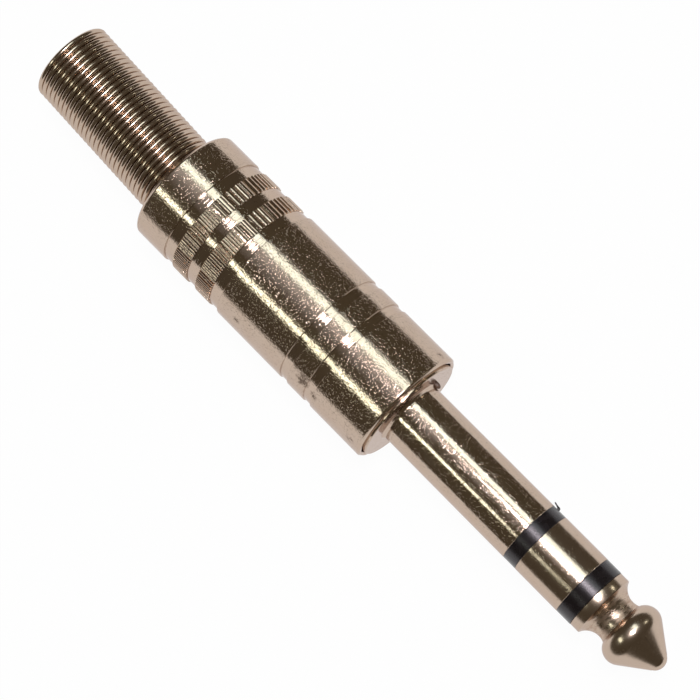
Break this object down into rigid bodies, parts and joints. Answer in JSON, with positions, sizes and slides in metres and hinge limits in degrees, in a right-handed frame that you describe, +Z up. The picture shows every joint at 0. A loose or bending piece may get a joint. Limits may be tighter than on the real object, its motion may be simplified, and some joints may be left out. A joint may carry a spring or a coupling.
{
  "type": "stereo jack plug",
  "caption": "Three-pole 6.35 mm audio plug with tip, ring and sleeve contacts, a screw-on knurled metal barrel and a coil spring that guards the cable.",
  "frame": {"origin": "centre of the shoulder flange's front face, on the plug's axis", "axes": "+X along the axis towards the tip, +Z up from the surface that the barrel lies on, +Y across"},
  "size_m": [0.078, 0.012, 0.012],
  "materials": {
    "nickel_turned": "nickel plated, polished",
    "nickel_barrel": "nickel plated, fine orange peel",
    "spring_steel": "nickel plated spring wire",
    "lug_brass": "tinned, dull",
    "black_collar": "black moulded plastic, satin",
    "inner_plastic": "dark moulded plastic",
    "lining_plastic": "milky thin-walled tube"
  },
  "bodies": {
    "plug": {"tip_contact": "nickel_turned", "centre_rod": "nickel_turned", "tip_insulator": "black_collar", "rod_tube": "inner_plastic", "ring_contact": "nickel_turned", "ring_insulator": "black_collar", "tail_tube": "inner_plastic", "plug_body": "nickel_turned", "ground_lug": "lug_brass", "body_insulator": "inner_plastic", "ring_lug": "lug_brass", "lug_insulator": "inner_plastic", "tip_lug": "lug_brass"},
    "lining": {"lining": "lining_plastic"},
    "barrel": {"barrel": "nickel_barrel"},
    "spring": {"strain_spring": "spring_steel"}
  },
  "joints": [
    {"name": "barrel_travel", "type": "slide", "parent": "plug", "child": "lining", "axis": [-1, 0, 0], "range_m": [0, 0.0057]},
    {"name": "barrel_turn", "type": "hinge", "parent": "lining", "child": "barrel", "pos_m": [0, 0, 0], "axis": [-1, 0, 0], "range_deg": [0, 2700]},
    {"name": "spring_swivel", "type": "hinge", "parent": "barrel", "child": "spring", "pos_m": [-0.0292, 0, 0], "axis": [1, 0, 0], "continuous": true}
  ],
  "couplings": [
    {"joint": "barrel_travel", "follows": "barrel_turn", "m_per_rad": 0.00011937}
  ]
}
